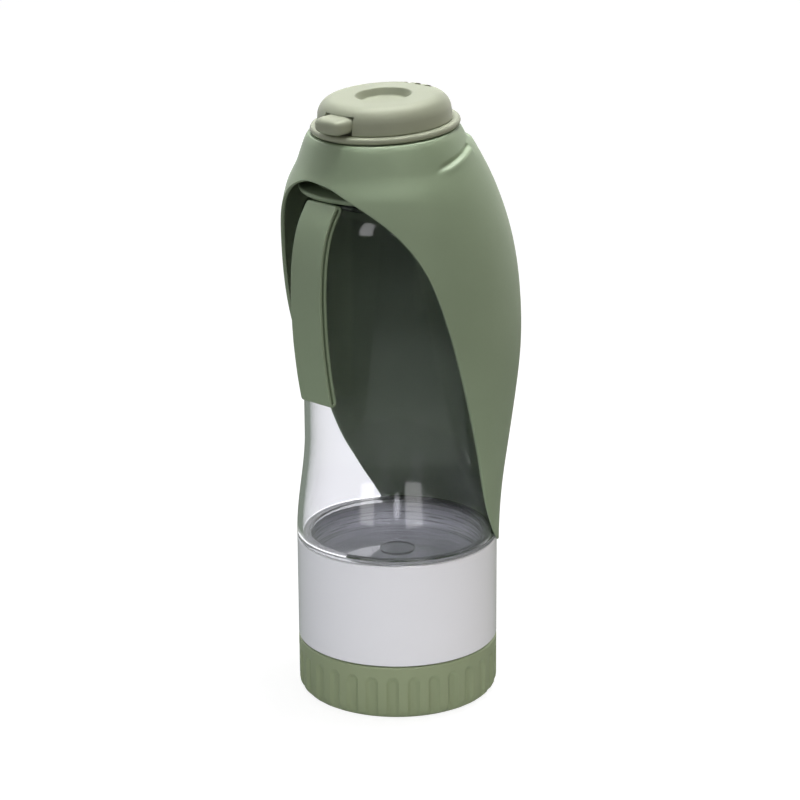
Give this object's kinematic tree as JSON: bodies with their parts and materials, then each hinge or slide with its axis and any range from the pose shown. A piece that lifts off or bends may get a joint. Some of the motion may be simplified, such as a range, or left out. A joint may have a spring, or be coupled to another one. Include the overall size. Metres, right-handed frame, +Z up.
{
  "type": "dog travel water bottle",
  "caption": "Clear travel water bottle for a dog with a silicone leaf bowl that folds round it, a flip lid with press latch, a hand strap, and a food cup with a ribbed screw base.",
  "frame": {"origin": "middle of the base cap's flat underside, where the bottle stands", "axes": "+Z up along the bottle; -Y is the front, with the latch and the hand strap; +Y is the back, with the leaf's broad side and the lid's hinge; +X is the right side seen from the front"},
  "size_m": [0.092, 0.0919, 0.2296],
  "materials": {
    "base_green": "satin moulded polypropylene",
    "cup_white": "glossy moulded plastic",
    "clear_plastic": "clear glossy plastic, slightly cool",
    "silicone_green": "soft matt silicone",
    "silicone_white": "translucent white silicone",
    "lid_khaki": "satin moulded plastic",
    "steel": "drawn stainless wire"
  },
  "bodies": {
    "bottle": {"bottle_floor": "clear_plastic", "bottle_shell": "clear_plastic", "strap_ring": "silicone_green", "leaf_bowl": "silicone_green"},
    "strap": {"hand_strap": "silicone_green"},
    "cup_seal": {"cup_gasket": "silicone_white"},
    "cup": {"food_cup": "cup_white"},
    "base_seal": {"base_gasket": "silicone_white"},
    "base": {"base_cap": "base_green"},
    "neck_seal": {"neck_gasket": "silicone_white"},
    "cap": {"cap_base": "lid_khaki"},
    "lid": {"flip_lid": "lid_khaki", "lid_hinge_pin": "steel", "spout_plug": "silicone_white", "latch_spring": "steel"},
    "latch": {"latch_button": "lid_khaki"}
  },
  "joints": [
    {"name": "strap_swing", "type": "hinge", "parent": "bottle", "child": "strap", "pos_m": [0, -0.03571, 0.19159], "axis": [-1, 0, 0], "range_deg": [0, 80]},
    {"name": "cup_lower", "type": "slide", "parent": "bottle", "child": "cup_seal", "axis": [0, 0, -1], "range_m": [0, 0.006]},
    {"name": "cup_turn", "type": "hinge", "parent": "cup_seal", "child": "cup", "pos_m": [0, 0, 0.04], "axis": [0, 0, -1], "range_deg": [0, 720]},
    {"name": "base_lower", "type": "slide", "parent": "cup", "child": "base_seal", "axis": [0, 0, -1], "range_m": [0, 0.006]},
    {"name": "base_turn", "type": "hinge", "parent": "base_seal", "child": "base", "pos_m": [0, 0, 0.01], "axis": [0, 0, -1], "range_deg": [0, 720]},
    {"name": "cap_lift", "type": "slide", "parent": "bottle", "child": "neck_seal", "axis": [0, -0.0767, 0.9971], "range_m": [0, 0.006]},
    {"name": "cap_turn", "type": "hinge", "parent": "neck_seal", "child": "cap", "pos_m": [0, 0, 0.157], "axis": [0, -0.0767, 0.9971], "range_deg": [0, 720]},
    {"name": "lid_hinge", "type": "hinge", "parent": "cap", "child": "lid", "pos_m": [0, 0.01653, 0.22367], "axis": [-1, 0, 0], "range_deg": [0, 130]},
    {"name": "latch_press", "type": "slide", "parent": "lid", "child": "latch", "axis": [0, 0.9971, 0.0767], "range_m": [0, 0.0016], "stiffness_N_per_m": 400, "springref_m": -0.001}
  ],
  "couplings": [
    {"joint": "cup_lower", "follows": "cup_turn", "m_per_rad": 0.00047746},
    {"joint": "base_lower", "follows": "base_turn", "m_per_rad": 0.00047746},
    {"joint": "cap_lift", "follows": "cap_turn", "m_per_rad": 0.00047746}
  ]
}
